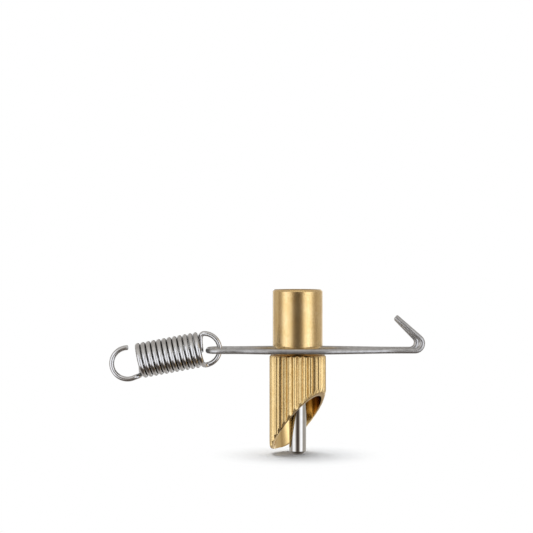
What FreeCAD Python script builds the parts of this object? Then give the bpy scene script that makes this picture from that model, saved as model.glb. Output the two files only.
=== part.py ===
"""Rabbit nipple drinker: a brass push-in valve with its wire hanger and tension spring.

Lengths are in millimetres. Z runs up the valve's axis and the drinking pin points down.
The origin is the centre of the inlet face, X runs along the hanger towards its two
hooks, and the side with the scooped mouth half in view faces -Y. A depth is measured
down from the inlet face.
"""
import FreeCAD
import Part
import Sketcher
import os
from math import cos, pi, radians, sin, tan

Vector = FreeCAD.Vector

# Driving dimensions: name, value, what it is
SIZES = [
    ("spigot_dia", 9.36, "smooth spigot that the water hose grips"),
    ("spigot_length", 10.75, "inlet face to the hanger groove"),
    ("spigot_lead", 0.35, "chamfer at the spigot's end"),
    ("inlet_bore_dia", 6.8, "bore above the valve seat"),
    ("inlet_lead", 0.3, "chamfer at the mouth of the inlet bore"),
    ("groove_play", 0.26, "width of the hanger groove over its wire"),
    ("groove_dia", 8.4, "bottom of the groove"),
    ("grip_dia", 10.6, "fluted lower half, over the ribs"),
    ("grip_lead", 0.5, "chamfer at the top of the ribs"),
    ("body_length", 30.2, "inlet face to the lowest edge"),
    ("end_lead", 0.7, "chamfer round the lowest edge"),
    ("flute_count", 30, "flutes round the grip"),
    ("flute_turn", 3.5, "a flute turned from +X away from the viewer, degrees"),
    ("flute_depth", 0.42, "depth of a flute"),
    ("flute_angle", 78, "angle between a flute's sides, degrees"),
    ("front_bore_dia", 8.8, "bore round the pin, open to the mouth"),
    ("seat_depth", 13.4, "inlet face to the valve seat"),
    ("web_thickness", 1.8, "wall between the two bores, which holds the seat"),
    ("scoop_angle", 50.2, "slope of the scooped mouth, degrees"),
    ("scoop_height", 11.5, "lowest edge to the highest point of the mouth"),
    ("scoop_turn", 33.8, "mouth turned from +X towards the viewer, degrees"),
    ("pin_dia", 3.2, "drinking pin"),
    ("pin_reach", 0.66, "how far the pin stands out below the body"),
    ("pin_lead", 0.6, "chamfer of the pin's tip"),
    ("head_dia", 5.2, "valve head on the pin"),
    ("head_thickness", 0.8, "valve head"),
    ("boss_dia", 3.2, "boss on the head that centres the return spring"),
    ("boss_height", 1.0, "boss above the head"),
    ("seal_thickness", 1.0, "rubber washer under the head"),
    ("seal_bore_dia", 4.0, "hole in the washer"),
    ("seal_gap", 0.1, "washer's edge to the inlet bore"),
    ("rest_gap", 0.02, "between faces that rest on each other on moving pieces"),
    ("running_gap", 0.05, "least clearance of the pin at its limits"),
    ("tilt_limit", 7, "how far the pin tips to any side, degrees"),
    ("lift_limit", 1.2, "how far the pin lifts"),
    ("bush_length", 3.0, "bush pressed into the inlet"),
    ("bush_recess", 0.6, "inlet face to the bush"),
    ("bush_lead", 0.25, "chamfer round the bush"),
    ("waterway_dia", 3.0, "hole through the bush"),
    ("valve_wire_dia", 0.4, "wire of the return spring"),
    ("valve_coil_play", 0.3, "inside of the return spring to the boss"),
    ("valve_coils", 6, "turns of the return spring, closed ends included"),
    ("hanger_wire_dia", 1.04, "wire of the hanger"),
    ("hanger_gap", 0.1, "hanger to the bottom of the groove"),
    ("hanger_left", 16.72, "axis to the hanger's closed end, middle of the wire"),
    ("closed_end_half", 3.35, "half the spacing of the legs at the closed end"),
    ("closed_end_radius", 2.2, "the two bends of the closed end, middle of the wire"),
    ("left_waist", 10.8, "axis to the bend where the left legs start to open"),
    ("left_shoulder", 4.6, "axis to the bend left of the body"),
    ("right_shoulder", 5.0, "axis to the bend right of the body"),
    ("right_waist", 17.3, "axis to the bend where the legs run on in line"),
    ("hook_half", 1.85, "half the spacing of the two hooks"),
    ("leg_bend_radius", 12.0, "gentle bends of the legs, middle of the wire"),
    ("hook_reach", 23.16, "axis to the outside of the near hook, middle of the wire"),
    ("hook_radius", 1.36, "bend of a hook, middle of the wire"),
    ("near_hook_angle", 41, "rise of the near hook's prong over its leg, degrees"),
    ("far_hook_angle", 46, "rise of the far hook's prong over its leg, degrees"),
    ("near_prong", 6.0, "straight prong of the near hook"),
    ("far_prong", 5.1, "straight prong of the far hook"),
    ("far_leg_short", 0.65, "how much sooner the far leg is bent up"),
    ("coil_wire_dia", 0.95, "wire of the tension spring"),
    ("coil_dia", 5.74, "tension spring, middle of the wire"),
    ("coil_gap", 0.05, "one turn of the tension spring to the next"),
    ("coil_turns", 12, "turns of the tension spring"),
    ("ring_radius", 2.95, "loop and hook of the tension spring, middle of the wire"),
    ("ring_drop", 0.1, "loop and hook set below the coil's axis"),
    ("loop_offset", 0.65, "last turn to the middle of the loop"),
    ("hook_offset", 1.96, "first turn to the middle of the hook"),
    ("hook_tip_angle", 77, "where the hook's wire ends, degrees from the coil's axis"),
    ("hook_root_angle", 285, "where the hook bends into the first turn, degrees"),
    ("loop_root_angle", -80, "where the last turn bends into the loop, degrees"),
    ("loop_top_angle", 75, "where the loop bends down into its tail, degrees"),
    ("coil_end_angle", 34, "first and last part of the coil, given to the bends, degrees"),
    ("bend_reach", 0.9, "how far each bend leads on from the run before it"),
    ("tail_inset", 0.55, "middle of the loop to the middle of its tail"),
    ("tail_top", 1.3, "coil's axis to the top of the straight tail"),
    ("tail_length", 1.9, "straight tail down the face of the coil"),
    ("tail_slant", 0.2, "how far the tail leans into the coil"),
    ("loop_play", 0.86, "middle of the loop beyond the hanger's closed end"),
    ("loop_rise", 0.17, "middle of the loop above the hanger"),
    ("spring_sag", 10.5, "how far the tension spring leans down, degrees"),
]

# Places worked out from the driving dimensions: name, formula
PLACES = [
    ("spigot_rad", "Sizes.spigot_dia / 2"),
    ("groove_rad", "Sizes.groove_dia / 2"),
    ("grip_rad", "Sizes.grip_dia / 2"),
    ("inlet_rad", "Sizes.inlet_bore_dia / 2"),
    ("front_rad", "Sizes.front_bore_dia / 2"),
    ("pin_rad", "Sizes.pin_dia / 2"),
    ("head_rad", "Sizes.head_dia / 2"),
    ("boss_rad", "Sizes.boss_dia / 2"),
    ("seal_bore_rad", "Sizes.seal_bore_dia / 2"),
    ("seal_rad", "inlet_rad - Sizes.seal_gap"),
    ("waterway_rad", "Sizes.waterway_dia / 2"),
    ("groove_width", "Sizes.hanger_wire_dia + Sizes.groove_play"),
    ("groove_end", "Sizes.spigot_length + groove_width"),
    ("web_end", "Sizes.seat_depth + Sizes.web_thickness"),
    ("seal_top", "Sizes.seat_depth - Sizes.seal_thickness"),
    ("head_under", "seal_top - Sizes.rest_gap"),
    ("head_top", "head_under - Sizes.head_thickness"),
    ("boss_top", "head_top - Sizes.boss_height"),
    ("pin_end", "Sizes.body_length + Sizes.pin_reach"),
    ("bush_end", "Sizes.bush_recess + Sizes.bush_length"),
    ("pin_lean", "(web_end - head_under + Sizes.lift_limit) * sin(Sizes.tilt_limit)"),
    ("stem_hole_rad", "pin_rad / cos(Sizes.tilt_limit) + pin_lean + Sizes.running_gap"),
    ("flute_root", "grip_rad - Sizes.flute_depth"),
    ("flute_mouth", "grip_rad + Sizes.flute_depth"),
    ("flute_half", "2 * Sizes.flute_depth * tan(Sizes.flute_angle / 2)"),
    ("scoop_slope", "tan(Sizes.scoop_angle)"),
    ("scoop_half", "grip_rad + Sizes.front_bore_dia / 2"),
    ("scoop_middle", "Sizes.body_length - Sizes.scoop_height + grip_rad * scoop_slope"),
    ("scoop_low", "scoop_middle + scoop_half * scoop_slope"),
    ("scoop_high", "scoop_middle - scoop_half * scoop_slope"),
    ("end_chamfer", "min(Sizes.end_lead; 0.9 * (grip_rad - front_rad))"),
    ("hanger_depth", "Sizes.spigot_length + groove_width / 2"),
    ("leg_half", "groove_rad + Sizes.hanger_gap + Sizes.hanger_wire_dia / 2"),
    ("face", "0"),
    ("axis", "0"),
]

HANGER_SIDES = 10
COIL_SIDES = 8
VALVE_SIDES = 6
COIL_STEPS = 16
VALVE_STEPS = 12
BRIDGE_STEPS = 4


def make_sheet(doc, name, rows):
    """A spreadsheet with one aliased value or formula a row."""
    sheet = doc.addObject("Spreadsheet::Sheet", name)
    for number, row in enumerate(rows, start=1):
        sheet.set("A%d" % number, row[0])
        sheet.set("B%d" % number, row[1])
        sheet.setAlias("B%d" % number, row[0])
    doc.recompute()
    return sheet


def origin_plane(body, role):
    """One of a body's own origin planes."""
    for feature in body.Origin.OriginFeatures:
        if feature.Role == role:
            return feature
    raise RuntimeError("no plane " + role)


def new_body(doc, name):
    body = doc.addObject("PartDesign::Body", name)
    body.Label = name
    return body


def new_sketch(body, name, role):
    """A sketch attached to an origin plane of its own body."""
    sketch = body.newObject("Sketcher::SketchObject", name)
    sketch.AttachmentSupport = [(origin_plane(body, role), "")]
    sketch.MapMode = "FlatFace"
    return sketch


def bind_distance(sketch, kind, vertex, sign, place):
    """Hold one coordinate of a line's start at a place, measured from the sketch's origin."""
    value = getattr(sketch.Document.Places, place)
    if sign > 0:
        index = sketch.addConstraint(Sketcher.Constraint(kind, -1, 1, vertex, 1, value))
    else:
        index = sketch.addConstraint(Sketcher.Constraint(kind, vertex, 1, -1, 1, value))
    sketch.setExpression("Constraints[%d]" % index, "Places." + place)


def draw_profile(sketch, corners):
    """A closed outline. Each corner is (x sign, x place, y sign, y place)."""
    places = sketch.Document.Places
    points = []
    for x_sign, x_place, y_sign, y_place in corners:
        x = x_sign * getattr(places, x_place)
        y = y_sign * getattr(places, y_place)
        points.append(Vector(x, y, 0))
    count = len(points)
    for i in range(count):
        sketch.addGeometry(Part.LineSegment(points[i], points[(i + 1) % count]), False)
    for i in range(count):
        sketch.addConstraint(Sketcher.Constraint("Coincident", i, 2, (i + 1) % count, 1))
    for i, (x_sign, x_place, y_sign, y_place) in enumerate(corners):
        if x_place == "axis":
            sketch.addConstraint(Sketcher.Constraint("PointOnObject", i, 1, -2))
        else:
            bind_distance(sketch, "DistanceX", i, x_sign, x_place)
        if y_place == "face":
            sketch.addConstraint(Sketcher.Constraint("PointOnObject", i, 1, -1))
        else:
            bind_distance(sketch, "DistanceY", i, y_sign, y_place)


def turned(body, name, corners):
    """A solid of revolution about Z. Each corner is (radius place, depth place)."""
    sketch = new_sketch(body, name + "_profile", "XZ_Plane")
    draw_profile(sketch, [(1, radius, -1, depth) for radius, depth in corners])
    solid = body.newObject("PartDesign::Revolution", name)
    solid.Profile = sketch
    solid.ReferenceAxis = (sketch, ["V_Axis"])
    solid.Angle = 360
    body.Document.recompute()
    return solid


def ring_edges(shape, radius, depth):
    """Names of the circular edges of one radius at one depth."""
    names = []
    for number, edge in enumerate(shape.Edges, start=1):
        if not isinstance(edge.Curve, Part.Circle):
            continue
        if abs(edge.Curve.Radius - radius) < 1e-4 and abs(edge.Curve.Center.z + depth) < 1e-4:
            names.append("Edge%d" % number)
    return names


def chamfer_ring(body, name, radius_place, depth_place, size):
    """A chamfer along the circular edge at a radius and depth."""
    places = body.Document.Places
    base = body.Tip
    names = ring_edges(base.Shape, getattr(places, radius_place), getattr(places, depth_place))
    if not names:
        raise RuntimeError("no edge for " + name)
    chamfer = body.newObject("PartDesign::Chamfer", name)
    chamfer.Base = (base, names)
    chamfer.setExpression("Size", size)
    body.Document.recompute()
    return chamfer


def cut_through(body, name, sketch, both_sides=False):
    """A pocket that takes something away, checked by volume."""
    before = body.Shape.Volume
    pocket = body.newObject("PartDesign::Pocket", name)
    pocket.Profile = sketch
    pocket.Type = "ThroughAll"
    if both_sides:
        pocket.Midplane = True
    body.Document.recompute()
    if body.Shape.Volume > before - 1e-3:
        pocket.Reversed = True
        body.Document.recompute()
    if body.Shape.Volume > before - 1e-3:
        raise RuntimeError(name + " cuts nothing")
    return pocket


def nipple_body(doc):
    """Turned brass body: spigot, hanger groove, fluted grip, valve seat and scooped mouth."""
    body = new_body(doc, "nipple_body")
    turned(body, "body_turning", [
        ("inlet_rad", "face"),
        ("spigot_rad", "face"),
        ("spigot_rad", "spigot_length"),
        ("groove_rad", "spigot_length"),
        ("groove_rad", "groove_end"),
        ("grip_rad", "groove_end"),
        ("grip_rad", "body_length"),
        ("front_rad", "body_length"),
        ("front_rad", "web_end"),
        ("stem_hole_rad", "web_end"),
        ("stem_hole_rad", "seat_depth"),
        ("inlet_rad", "seat_depth"),
    ])
    chamfer_ring(body, "spigot_chamfer", "spigot_rad", "face", "Sizes.spigot_lead")
    chamfer_ring(body, "inlet_chamfer", "inlet_rad", "face", "Sizes.inlet_lead")
    chamfer_ring(body, "rib_chamfer", "grip_rad", "groove_end", "Sizes.grip_lead")
    chamfer_ring(body, "end_chamfering", "grip_rad", "body_length", "Places.end_chamfer")

    flute = new_sketch(body, "flute_section", "XY_Plane")
    flute.AttachmentOffset = FreeCAD.Placement(
        Vector(0, 0, 0), FreeCAD.Rotation(Vector(0, 0, 1), doc.Sizes.flute_turn)
    )
    flute.setExpression("AttachmentOffset.Rotation.Angle", "Sizes.flute_turn")
    flute.setExpression("AttachmentOffset.Base.z", "-Places.groove_end")
    draw_profile(flute, [
        (1, "flute_root", 1, "face"),
        (1, "flute_mouth", 1, "flute_half"),
        (1, "flute_mouth", -1, "flute_half"),
    ])
    first_flute = cut_through(body, "first_flute", flute)
    flutes = body.newObject("PartDesign::PolarPattern", "flutes")
    flutes.Originals = [first_flute]
    flutes.Axis = (flute, ["N_Axis"])
    flutes.Angle = 360
    flutes.setExpression("Occurrences", "Sizes.flute_count")
    body.Tip = flutes
    doc.recompute()

    scoop = new_sketch(body, "scoop_section", "XZ_Plane")
    scoop.AttachmentOffset = FreeCAD.Placement(
        Vector(0, 0, 0), FreeCAD.Rotation(Vector(0, 1, 0), -doc.Sizes.scoop_turn)
    )
    scoop.setExpression("AttachmentOffset.Rotation.Angle", "-Sizes.scoop_turn")
    draw_profile(scoop, [
        (-1, "scoop_half", -1, "scoop_low"),
        (1, "scoop_half", -1, "scoop_high"),
        (1, "scoop_half", -1, "scoop_low"),
    ])
    cut_through(body, "scooped_mouth", scoop, both_sides=True)
    return body


def seat_seal(doc):
    """Rubber washer that lies on the valve seat under the pin's head."""
    body = new_body(doc, "seat_seal")
    turned(body, "seal_ring", [
        ("seal_bore_rad", "seal_top"),
        ("seal_rad", "seal_top"),
        ("seal_rad", "seat_depth"),
        ("seal_bore_rad", "seat_depth"),
    ])
    return body


def drinking_pin(doc):
    """Stainless pin with its valve head and the boss that centres the return spring."""
    body = new_body(doc, "drinking_pin")
    turned(body, "pin_turning", [
        ("axis", "boss_top"),
        ("boss_rad", "boss_top"),
        ("boss_rad", "head_top"),
        ("head_rad", "head_top"),
        ("head_rad", "head_under"),
        ("pin_rad", "head_under"),
        ("pin_rad", "pin_end"),
        ("axis", "pin_end"),
    ])
    chamfer_ring(body, "tip_chamfer", "pin_rad", "pin_end", "Sizes.pin_lead")
    return body


def inlet_bush(doc):
    """Bush pressed into the inlet: it holds the return spring and lets the water through."""
    body = new_body(doc, "inlet_bush")
    turned(body, "bush_turning", [
        ("waterway_rad", "bush_recess"),
        ("inlet_rad", "bush_recess"),
        ("inlet_rad", "bush_end"),
        ("waterway_rad", "bush_end"),
    ])
    chamfer_ring(body, "bush_chamfer", "inlet_rad", "bush_end", "Sizes.bush_lead")
    return body


def wire_section(start, ahead, radius, sides):
    """Many-sided section of a wire that starts at one point and runs towards another."""
    along = (ahead - start).normalize()
    helper = Vector(0, 0, 1)
    if abs(along.z) > 0.9:
        helper = Vector(0, 1, 0)
    across = along.cross(helper).normalize()
    up = across.cross(along)
    ring = []
    for i in range(sides):
        turn = 2 * pi * (i + 0.5) / sides
        ring.append(start + across * (radius * cos(turn)) + up * (radius * sin(turn)))
    return Part.makePolygon(ring + ring[:1])


def coiled_wire(points, radius, sides):
    """Wire along a run of short straight lengths, mitred where they meet."""
    section = wire_section(points[0], points[1], radius, sides)
    right_corners = 1
    return Part.makePolygon(points).makePipeShell([section], True, False, right_corners)


def return_spring(doc):
    """Compression spring between the bush and the pin's head, with a closed turn at each end."""
    size = doc.Sizes
    place = doc.Places
    wire_rad = size.valve_wire_dia / 2
    coil_rad = place.boss_rad + size.valve_coil_play + wire_rad
    bottom = -place.head_top + size.rest_gap + wire_rad
    top = -place.bush_end - size.rest_gap - wire_rad
    closed_rise = size.valve_wire_dia + size.rest_gap
    open_rise = (top - bottom - 2 * closed_rise) / (size.valve_coils - 2)
    points = []
    level = bottom
    for step in range(int(size.valve_coils) * VALVE_STEPS + 1):
        turn = step / VALVE_STEPS
        if step > 0:
            closed = turn <= 1 or turn > size.valve_coils - 1
            level += (closed_rise if closed else open_rise) / VALVE_STEPS
        angle = 2 * pi * turn
        points.append(Vector(coil_rad * cos(angle), coil_rad * sin(angle), level - bottom))
    spring = doc.addObject("Part::Feature", "return_spring")
    spring.Label = "return_spring"
    spring.Shape = coiled_wire(points, wire_rad, VALVE_SIDES)
    spring.Placement = FreeCAD.Placement(Vector(0, 0, bottom), FreeCAD.Rotation())
    return spring


def rounded_path(points, radii):
    """Straight runs through the points, joined by arcs that touch both runs."""
    edges = []
    start = points[0]
    for i in range(1, len(points) - 1):
        corner = points[i]
        back = (points[i - 1] - corner).normalize()
        ahead = (points[i + 1] - corner).normalize()
        half = back.getAngle(ahead) / 2
        reach = radii[i - 1] / tan(half)
        middle = (back + ahead).normalize()
        first = corner + back * reach
        last = corner + ahead * reach
        nearest = corner + middle * (radii[i - 1] / sin(half) - radii[i - 1])
        if (first - start).Length > 1e-6:
            edges.append(Part.LineSegment(start, first).toShape())
        edges.append(Part.Arc(first, nearest, last).toShape())
        start = last
    edges.append(Part.LineSegment(start, points[-1]).toShape())
    return Part.Wire(edges)


def leg_corners(doc, side, hook_angle, straight_prong, shorter):
    """Corners of one leg from its prong's tip to the closed end. side is -1 near, 1 far."""
    size = doc.Sizes
    rise = radians(hook_angle)
    reach = size.hook_radius * tan((pi - rise) / 2)
    corner_x = size.hook_reach - size.hook_radius + reach - shorter
    prong = reach + straight_prong
    half = size.hook_half
    return [
        Vector(corner_x - prong * cos(rise), side * half, prong * sin(rise)),
        Vector(corner_x, side * half, 0),
        Vector(size.right_waist, side * half, 0),
        Vector(size.right_shoulder, side * doc.Places.leg_half, 0),
        Vector(-size.left_shoulder, side * doc.Places.leg_half, 0),
        Vector(-size.left_waist, side * size.closed_end_half, 0),
        Vector(-size.hanger_left, side * size.closed_end_half, 0),
    ]


def hanger_wire(doc):
    """Hairpin of stiff wire: closed end, two bowed legs in the groove, two hooks for the mesh."""
    size = doc.Sizes
    near = leg_corners(doc, -1, size.near_hook_angle, size.near_prong, 0)
    far = leg_corners(doc, 1, size.far_hook_angle, size.far_prong, size.far_leg_short)
    leg_radii = [size.hook_radius] + [size.leg_bend_radius] * 4 + [size.closed_end_radius]
    path = rounded_path(near + far[::-1], leg_radii + leg_radii[::-1])
    section = wire_section(near[0], near[1], size.hanger_wire_dia / 2, HANGER_SIDES)
    hanger = doc.addObject("Part::Feature", "hanger_wire")
    hanger.Label = "hanger_wire"
    hanger.Shape = path.makePipeShell([section], True, False)
    hanger.Placement = FreeCAD.Placement(Vector(0, 0, -doc.Places.hanger_depth), FreeCAD.Rotation())
    return hanger


def ring_points(middle_x, middle_z, radius, first, last):
    """Points of a ring in the XZ plane from one angle to another, in degrees from +X."""
    steps = round(abs(last - first) / 360 * COIL_STEPS)
    points = []
    for i in range(steps + 1):
        angle = radians(first + (last - first) * i / steps)
        points.append(Vector(middle_x + radius * cos(angle), 0, middle_z + radius * sin(angle)))
    return points


def bridge(before, after, reach):
    """Points of a smooth bend from the end of one run of points to the start of the next."""
    start = before[-1]
    end = after[0]
    leave = start + (before[-1] - before[-2]).normalize() * reach
    arrive = end - (after[1] - after[0]).normalize() * reach
    points = []
    for i in range(1, BRIDGE_STEPS):
        t = i / BRIDGE_STEPS
        u = 1 - t
        points.append(start * u**3 + leave * (3 * u * u * t) + arrive * (3 * u * t * t) + end * t**3)
    return points


def tension_spring(doc):
    """Close-wound tension spring with a closed loop on the hanger and an open hook at its far end.

    It is made with its coil along X, its first turn at the origin and the loop at +X.
    """
    size = doc.Sizes
    coil_rad = size.coil_dia / 2
    pitch = size.coil_wire_dia + size.coil_gap
    hook_middle = -size.hook_offset
    loop_middle = size.coil_turns * pitch + size.loop_offset

    hook = ring_points(
        hook_middle, -size.ring_drop, size.ring_radius, size.hook_tip_angle, size.hook_root_angle
    )
    first = size.coil_end_angle / 360
    last = size.coil_turns - first
    steps = round((last - first) * COIL_STEPS)
    coil = []
    for i in range(steps + 1):
        turn = first + (last - first) * i / steps
        angle = 2 * pi * turn
        coil.append(Vector(pitch * turn, coil_rad * sin(angle), -coil_rad * cos(angle)))
    loop = ring_points(
        loop_middle, -size.ring_drop, size.ring_radius, size.loop_root_angle, size.loop_top_angle
    )
    tail_x = loop_middle - size.tail_inset
    tail = [
        Vector(tail_x + size.tail_slant / 2, 0, size.tail_top),
        Vector(tail_x, 0, size.tail_top - size.tail_length / 2),
        Vector(tail_x - size.tail_slant / 2, 0, size.tail_top - size.tail_length),
    ]
    path = hook + bridge(hook, coil, size.bend_reach) + coil
    path = path + bridge(coil, loop, size.bend_reach) + loop
    path = path + bridge(loop, tail, size.bend_reach) + tail

    spring = doc.addObject("Part::Feature", "tension_spring")
    spring.Label = "tension_spring"
    spring.Shape = coiled_wire(path, size.coil_wire_dia / 2, COIL_SIDES)
    lean = FreeCAD.Rotation(Vector(0, 1, 0), -size.spring_sag)
    loop_at = Vector(-size.hanger_left - size.loop_play, 0, -doc.Places.hanger_depth + size.loop_rise)
    spring.Placement = FreeCAD.Placement(
        loop_at - lean.multVec(Vector(loop_middle, 0, -size.ring_drop)), lean
    )
    return spring


def check(doc, pieces):
    """Stop if any object failed or any piece isn't one valid solid."""
    for item in doc.Objects:
        if "Invalid" in item.State or "Error" in item.State:
            raise RuntimeError("%s failed: %s" % (item.Name, item.State))
    for piece in pieces:
        shape = piece.Shape
        if shape.isNull() or not shape.isValid() or len(shape.Solids) != 1:
            raise RuntimeError(piece.Label + " isn't one valid solid")


def main():
    doc = FreeCAD.newDocument("nipple_drinker")
    make_sheet(doc, "Sizes", [(name, str(value)) for name, value, meaning in SIZES])
    own_places = [(name, "=" + formula) for name, formula in PLACES]
    passed_on = [(name, "=Sizes." + name) for name in
                 ("spigot_length", "body_length", "seat_depth", "bush_recess")]
    make_sheet(doc, "Places", own_places + passed_on)
    pieces = [
        nipple_body(doc),
        seat_seal(doc),
        drinking_pin(doc),
        inlet_bush(doc),
        return_spring(doc),
        hanger_wire(doc),
        tension_spring(doc),
    ]
    doc.recompute()
    check(doc, pieces)
    os.makedirs("parts", exist_ok=True)
    for piece in pieces:
        piece.Shape.exportStep("parts/%s.step" % piece.Label)
        box = piece.Shape.BoundBox
        print("%-15s volume %8.2f  x %7.2f %7.2f  y %6.2f %6.2f  z %7.2f %7.2f" % (
            piece.Label, piece.Shape.Volume,
            box.XMin, box.XMax, box.YMin, box.YMax, box.ZMin, box.ZMax,
        ))


main()
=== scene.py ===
from math import cos, pi, radians, sin, sqrt, tan

import bpy
from mathutils import Matrix, Vector

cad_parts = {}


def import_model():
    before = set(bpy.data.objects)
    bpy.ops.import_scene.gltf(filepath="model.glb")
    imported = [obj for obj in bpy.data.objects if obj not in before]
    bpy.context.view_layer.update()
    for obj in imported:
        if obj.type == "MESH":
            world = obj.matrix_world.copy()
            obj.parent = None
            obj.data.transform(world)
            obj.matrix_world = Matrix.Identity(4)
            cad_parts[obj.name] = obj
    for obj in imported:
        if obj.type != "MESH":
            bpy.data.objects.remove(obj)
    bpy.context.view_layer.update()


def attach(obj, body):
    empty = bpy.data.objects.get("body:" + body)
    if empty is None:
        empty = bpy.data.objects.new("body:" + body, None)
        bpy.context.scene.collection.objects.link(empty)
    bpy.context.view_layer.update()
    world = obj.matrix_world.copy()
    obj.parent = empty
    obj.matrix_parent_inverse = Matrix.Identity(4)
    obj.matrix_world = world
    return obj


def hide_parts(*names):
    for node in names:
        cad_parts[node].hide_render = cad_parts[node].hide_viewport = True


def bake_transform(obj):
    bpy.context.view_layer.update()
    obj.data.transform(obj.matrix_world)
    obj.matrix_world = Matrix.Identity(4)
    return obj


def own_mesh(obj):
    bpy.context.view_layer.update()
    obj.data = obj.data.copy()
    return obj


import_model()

# Scene of a brass nipple drinker with its wire hanger and tension spring. Lengths are in
# millimetres until a mesh is made, and a height is measured up from the inlet face.
MM = 0.001

# Photograph: frame, scale, and where the valve's axis and inlet face lie in it
IMAGE_SIZE = 533
PIXELS_PER_MM = 5.33
AXIS_PIXEL_X = 297.7
INLET_PIXEL_Y = 289.35
CAMERA_ELEVATION = 0
CAMERA_DISTANCE = 240
SENSOR_WIDTH = 36

# Body
SPIGOT_RAD = 4.68
SPIGOT_END = -10.75
SPIGOT_LEAD = 0.35
INLET_RAD = 3.4
INLET_LEAD = 0.3
GROOVE_RAD = 4.2
GROOVE_END = -12.05
GRIP_RAD = 5.3
GRIP_LEAD = 0.5
BODY_END = -30.2
END_ROUND = 1.2
FLUTES = 30
FLUTE_TURN = 3.5
FLUTE_DEPTH = 0.42
FLUTE_ANGLE = 78
FLUTE_EDGE = 0.25
FRONT_RAD = 4.4
SEAT = -13.4
WEB_END = -15.2
STEM_HOLE_RAD = 2.152
MOUTH_TOP = -18.7
MOUTH_SLOPE = 50.2
MOUTH_TURN = -33.8

# Body's edges: narrow rounds, and a chamfer on the ribs' ends that fades out towards the tip
EDGE = 0.09
EDGE_MIDDLE = EDGE * 0.3
TINY_EDGE = 0.05
LEAD_BLEND = 0.04
MOUTH_LEAD = 0.25
MOUTH_LEAD_RISE = 0.5
MOUTH_LEAD_START = END_ROUND * 0.7
MOUTH_LEAD_FADE = 1.5
MOUTH_TIP_BLEND = 0.25

# Rows of the body's mesh: depths on the spigot, then shares of each stretch. The straight
# flutes start at FLUTE_TOP and leave MOUTH_LEAD_ROOM above the cut.
COLUMNS_PER_FLUTE = 16
SPIGOT_ROWS = (3, 5.5, 8)
GRIP_LEAD_ROWS = (0.1, 0.25, 0.4, 0.55, 0.7, 0.85, 1.0)
FLUTE_TOP = GROOVE_END - GRIP_LEAD * 1.4
FLUTE_ROWS = (0, 0.2, 0.4, 0.6, 0.8, 0.92, 1.0)
MOUTH_LEAD_ROOM = MOUTH_LEAD_RISE * 1.2
MOUTH_LEAD_ROWS = (1, 0.8, 0.6, 0.4, 0.2, 0)
MOUTH_FACE_ROWS = (0, 0.33, 0.67, 1.0)
FRONT_BORE_ROWS = (0, 0.25, 0.5, 0.75, 1.0)
INLET_ROWS = (0.66, 0.33)

# Valve
PIN_RAD = 1.6
PIN_END = -30.86
PIN_LEAD = 0.6
HEAD_RAD = 2.6
HEAD_UNDER = -12.38
HEAD_TOP = -11.58
BOSS_RAD = 1.6
BOSS_TOP = -10.58
SEAL_RAD = 3.3
SEAL_BORE_RAD = 2.0
SEAL_TOP = -12.4
BUSH_TOP = -0.6
BUSH_END = -3.6
BUSH_LEAD = 0.25
WATERWAY_RAD = 1.5
PIN_EDGE = 0.07
SEAL_EDGE = 0.08
BUSH_EDGE = 0.06
NEAR_AXIS = 0.02
VALVE_WIRE = 0.2
VALVE_COIL_RAD = 2.1
VALVE_TURNS = 6
VALVE_STEPS = 48
VALVE_SIDES = 10
REST_GAP = 0.02

# Hanger, sizes to the middle of the wire
HANGER_WIRE = 0.52
HANGER_LEVEL = -11.4
HANGER_LEFT = 16.72
CLOSED_HALF = 3.35
CLOSED_RAD = 2.2
LEFT_WAIST = 10.8
LEFT_SHOULDER = 4.6
RIGHT_SHOULDER = 5.0
RIGHT_WAIST = 17.3
LEG_HALF = 4.82
HOOK_HALF = 1.85
LEG_BEND = 12.0
HOOK_REACH = 23.16
HOOK_RAD = 1.36
NEAR_HOOK_ANGLE = 41
FAR_HOOK_ANGLE = 46
NEAR_PRONG = 6.0
FAR_PRONG = 5.1
FAR_LEG_SHORT = 0.65
HANGER_STEP = 0.25
HANGER_SIDES = 24

# Tension spring, sizes to the middle of the wire
COIL_WIRE = 0.475
COIL_RAD = 2.87
COIL_PITCH = 1.0
COIL_TURNS = 12
COIL_END_TURN = 34 / 360
RING_RAD = 2.95
RING_DROP = 0.1
LOOP_OFFSET = 0.65
HOOK_OFFSET = 1.96
HOOK_TIP_ANGLE = 77
HOOK_ROOT_ANGLE = 285
LOOP_ROOT_ANGLE = -80
LOOP_TOP_ANGLE = 75
BEND_REACH = 0.9
TAIL_INSET = 0.55
TAIL_TOP = 1.3
TAIL_LENGTH = 1.9
TAIL_SLANT = 0.2
TAIL_ROWS = (0, 0.25, 0.5, 0.75, 1)
LOOP_PLAY = 0.86
LOOP_RISE = 0.17
SPRING_SAG = 10.5
COIL_STEPS = 72
COIL_SIDES = 16
RING_STEP = 5
BEND_STEPS = 10

# Meshes: columns of a turned piece, steps of a rounded corner, angle from which an edge is
# sharp, and how much a face's size counts in its normals
TURNED_COLUMNS = 96
ROUND_STEPS = 3
SHARP_ANGLE = 35
FACE_WEIGHT = 80

# Cut ends of a wire: size of the round as a share of the wire's radius, and its rings as shares
# of that size, along the wire and in from its surface
WIRE_END_ROUND = 0.35
VALVE_END_ROUND = 0.1
END_RINGS = ((0, 1), (0.3, 0.3), (1, 0))

# Painted shade: the mesh attribute that carries it, the depth to which it lies in the notches at
# the grip's top, and how far a turn of the coil faces the next where it starts and is full
PAINTED_SHADE = "painted_shade"
NOTCH_SHADE_DEPTH = 1.1
COIL_SHADE_FACING = (0.66, 0.93)

# Heights where painted shade starts and is full: up the front bore, and on the pin's chamfer,
# where it stands for the shadowed floor that the tip reflects
FRONT_BORE_SHADE = (-24.6, -22.6)
TIP_SHADE = (PIN_END + PIN_LEAD + 0.05, PIN_END + PIN_LEAD - 0.05)

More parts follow.
